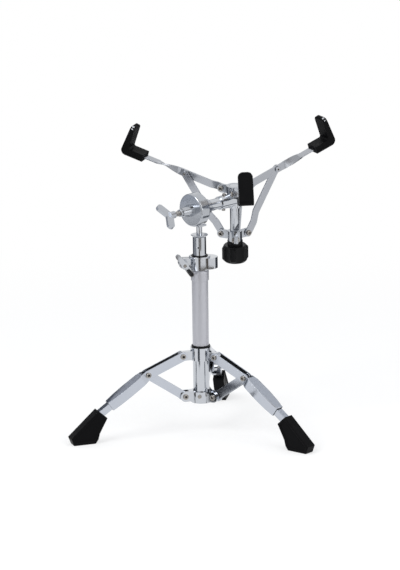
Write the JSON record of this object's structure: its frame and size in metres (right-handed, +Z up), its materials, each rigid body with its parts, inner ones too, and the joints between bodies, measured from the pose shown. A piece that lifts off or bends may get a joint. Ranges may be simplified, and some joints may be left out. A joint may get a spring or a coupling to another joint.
{
  "type": "snare drum stand",
  "caption": "Folding chrome tripod stand with a telescoping column, a ratchet tilter and a three-arm basket whose rubber grips clamp a snare drum.",
  "frame": {"origin": "on the column's axis at floor level, the centre of the three feet", "axes": "+Z up along the column; the rear leg points along +Y, and +X is to the right"},
  "size_m": [0.4344, 0.3917, 0.5306],
  "materials": {
    "chrome": "polished chrome plate",
    "steel": "plain steel",
    "rubber": "moulded black rubber",
    "black_plastic": "moulded black plastic"
  },
  "bodies": {
    "column": {"base_tube": "chrome", "tube_sleeve": "chrome", "lower_hub": "chrome", "lower_hub_screw": "steel", "lower_hub_rivets": "steel", "height_clamp": "chrome", "clamp_bushing": "black_plastic", "clamp_bolt": "steel"},
    "clamp_lever": {"clamp_lever": "chrome"},
    "upper_hub": {"upper_hub": "chrome", "hub_bushing_ring": "black_plastic"},
    "hub_wing_bolt": {"hub_wing_bolt": "chrome"},
    "upper_column": {"upper_tube": "chrome", "tube_cap": "chrome", "cross_pin": "steel", "tilter_rod": "chrome", "tilter_front_shell": "chrome", "front_ratchet_ring": "steel"},
    "tilter_wing_bolt": {"tilter_wing_bolt": "chrome", "tilter_lock_nut": "chrome"},
    "tilter_head": {"tilter_rear_shell": "chrome", "rear_ratchet_ring": "steel", "stub_tube": "chrome", "post_clamp": "chrome", "stub_screws": "steel", "basket_post": "chrome", "threaded_rod": "steel", "top_hub": "chrome", "arm_rivets": "steel"},
    "lower_collar": {"lower_collar": "chrome", "collar_rivets": "steel"},
    "tension_knob": {"tension_knob": "black_plastic"},
    "brace_rear": {"brace_rear": "chrome", "mid_rivet_rear": "steel"},
    "leg_rear": {"leg_rear": "chrome", "foot_rear": "rubber", "top_rivet_rear": "steel"},
    "brace_left": {"brace_left": "chrome", "mid_rivet_left": "steel"},
    "leg_left": {"leg_left": "chrome", "foot_left": "rubber", "top_rivet_left": "steel"},
    "brace_right": {"brace_right": "chrome", "mid_rivet_right": "steel"},
    "leg_right": {"leg_right": "chrome", "foot_right": "rubber", "top_rivet_right": "steel"},
    "arm_front": {"arm_front": "chrome", "grip_front": "rubber"},
    "strut_front": {"strut_front": "chrome", "strut_rivet_front": "steel"},
    "arm_right": {"arm_right": "chrome", "grip_right": "rubber"},
    "strut_right": {"strut_right": "chrome", "strut_rivet_right": "steel"},
    "arm_left": {"arm_left": "chrome", "grip_left": "rubber"},
    "strut_left": {"strut_left": "chrome", "strut_rivet_left": "steel"}
  },
  "joints": [
    {"name": "tripod_fold", "type": "slide", "parent": "column", "child": "upper_hub", "axis": [0, 0, 1], "range_m": [0, 0.07523]},
    {"name": "hub_bolt_turn", "type": "hinge", "parent": "upper_hub", "child": "hub_wing_bolt", "pos_m": [0.01238, 0.00715, 0.1132], "axis": [0.866, 0.5, 0], "continuous": true},
    {"name": "height", "type": "slide", "parent": "column", "child": "upper_column", "axis": [0, 0, 1], "range_m": [-0.03, 0.15]},
    {"name": "clamp_lever_turn", "type": "hinge", "parent": "column", "child": "clamp_lever", "pos_m": [-0.02728, -0.00824, 0.304], "axis": [0.289, -0.9573, 0], "continuous": true},
    {"name": "tilt", "type": "hinge", "parent": "upper_column", "child": "tilter_head", "pos_m": [0, 0, 0.4], "axis": [0.6002, 0.7994, 0.0262], "range_deg": [-60, 60]},
    {"name": "tilter_bolt_turn", "type": "hinge", "parent": "upper_column", "child": "tilter_wing_bolt", "pos_m": [0, 0, 0.4], "axis": [0.6002, 0.7994, 0.0262], "continuous": true},
    {"name": "knob_turn", "type": "hinge", "parent": "lower_collar", "child": "tension_knob", "pos_m": [0.04945, 0.08204, 0.28907], "axis": [0.017, -0.1194, 0.9927], "range_deg": [0, 1440]},
    {"name": "collar_slide", "type": "slide", "parent": "tilter_head", "child": "lower_collar", "axis": [0.017, -0.1194, 0.9927], "range_m": [0, 0.016]},
    {"name": "brace_rear_fold", "type": "hinge", "parent": "column", "child": "brace_rear", "pos_m": [0, 0.0322, 0.0661], "axis": [1, 0, 0], "range_deg": [0, 42]},
    {"name": "leg_rear_fold", "type": "hinge", "parent": "brace_rear", "child": "leg_rear", "pos_m": [0, 0.10026, 0.1121], "axis": [-1, 0, 0], "range_deg": [0, 96]},
    {"name": "brace_left_fold", "type": "hinge", "parent": "column", "child": "brace_left", "pos_m": [-0.02789, -0.0161, 0.0661], "axis": [-0.5, 0.866, 0], "range_deg": [0, 42]},
    {"name": "leg_left_fold", "type": "hinge", "parent": "brace_left", "child": "leg_left", "pos_m": [-0.08682, -0.05013, 0.1121], "axis": [0.5, -0.866, 0], "range_deg": [0, 96]},
    {"name": "brace_right_fold", "type": "hinge", "parent": "column", "child": "brace_right", "pos_m": [0.02789, -0.0161, 0.0661], "axis": [-0.5, -0.866, 0], "range_deg": [0, 42]},
    {"name": "leg_right_fold", "type": "hinge", "parent": "brace_right", "child": "leg_right", "pos_m": [0.08682, -0.05013, 0.1121], "axis": [0.5, 0.866, 0], "range_deg": [0, 96]},
    {"name": "arm_front_close", "type": "hinge", "parent": "tilter_head", "child": "arm_front", "pos_m": [0.05808, 0.04254, 0.41684], "axis": [-0.966, -0.2583, -0.0146], "range_deg": [0, 19.73]},
    {"name": "strut_front_swing", "type": "hinge", "parent": "lower_collar", "child": "strut_front", "pos_m": [0.05701, 0.05128, 0.33289], "axis": [-0.966, -0.2583, -0.0146], "range_deg": [0, 5.56]},
    {"name": "arm_right_close", "type": "hinge", "parent": "tilter_head", "child": "arm_right", "pos_m": [0.06922, 0.08375, 0.42161], "axis": [0.7065, -0.7011, -0.0964], "range_deg": [0, 19.73]},
    {"name": "strut_right_swing", "type": "hinge", "parent": "lower_collar", "child": "strut_right", "pos_m": [0.06878, 0.09481, 0.33793], "axis": [0.7065, -0.7011, -0.0964], "range_deg": [0, 5.56]},
    {"name": "arm_left_close", "type": "hinge", "parent": "tilter_head", "child": "arm_left", "pos_m": [0.02773, 0.07266, 0.42098], "axis": [0.2594, 0.9594, 0.111], "range_deg": [0, 19.73]},
    {"name": "strut_left_swing", "type": "hinge", "parent": "lower_collar", "child": "strut_left", "pos_m": [0.02495, 0.08309, 0.33727], "axis": [0.2594, 0.9594, 0.111], "range_deg": [0, 5.56]}
  ],
  "couplings": [
    {"joint": "knob_turn", "follows": "collar_slide", "rad_per_m": 1570.8},
    {"joint": "brace_rear_fold", "follows": "tripod_fold", "rad_per_m": 9.7429},
    {"joint": "leg_rear_fold", "follows": "tripod_fold", "rad_per_m": 22.271},
    {"joint": "brace_left_fold", "follows": "tripod_fold", "rad_per_m": 9.7429},
    {"joint": "leg_left_fold", "follows": "tripod_fold", "rad_per_m": 22.271},
    {"joint": "brace_right_fold", "follows": "tripod_fold", "rad_per_m": 9.7429},
    {"joint": "leg_right_fold", "follows": "tripod_fold", "rad_per_m": 22.271},
    {"joint": "arm_front_close", "follows": "collar_slide", "rad_per_m": 21.525},
    {"joint": "strut_front_swing", "follows": "collar_slide", "rad_per_m": 6.0652},
    {"joint": "arm_right_close", "follows": "collar_slide", "rad_per_m": 21.525},
    {"joint": "strut_right_swing", "follows": "collar_slide", "rad_per_m": 6.0652},
    {"joint": "arm_left_close", "follows": "collar_slide", "rad_per_m": 21.525},
    {"joint": "strut_left_swing", "follows": "collar_slide", "rad_per_m": 6.0652}
  ]
}
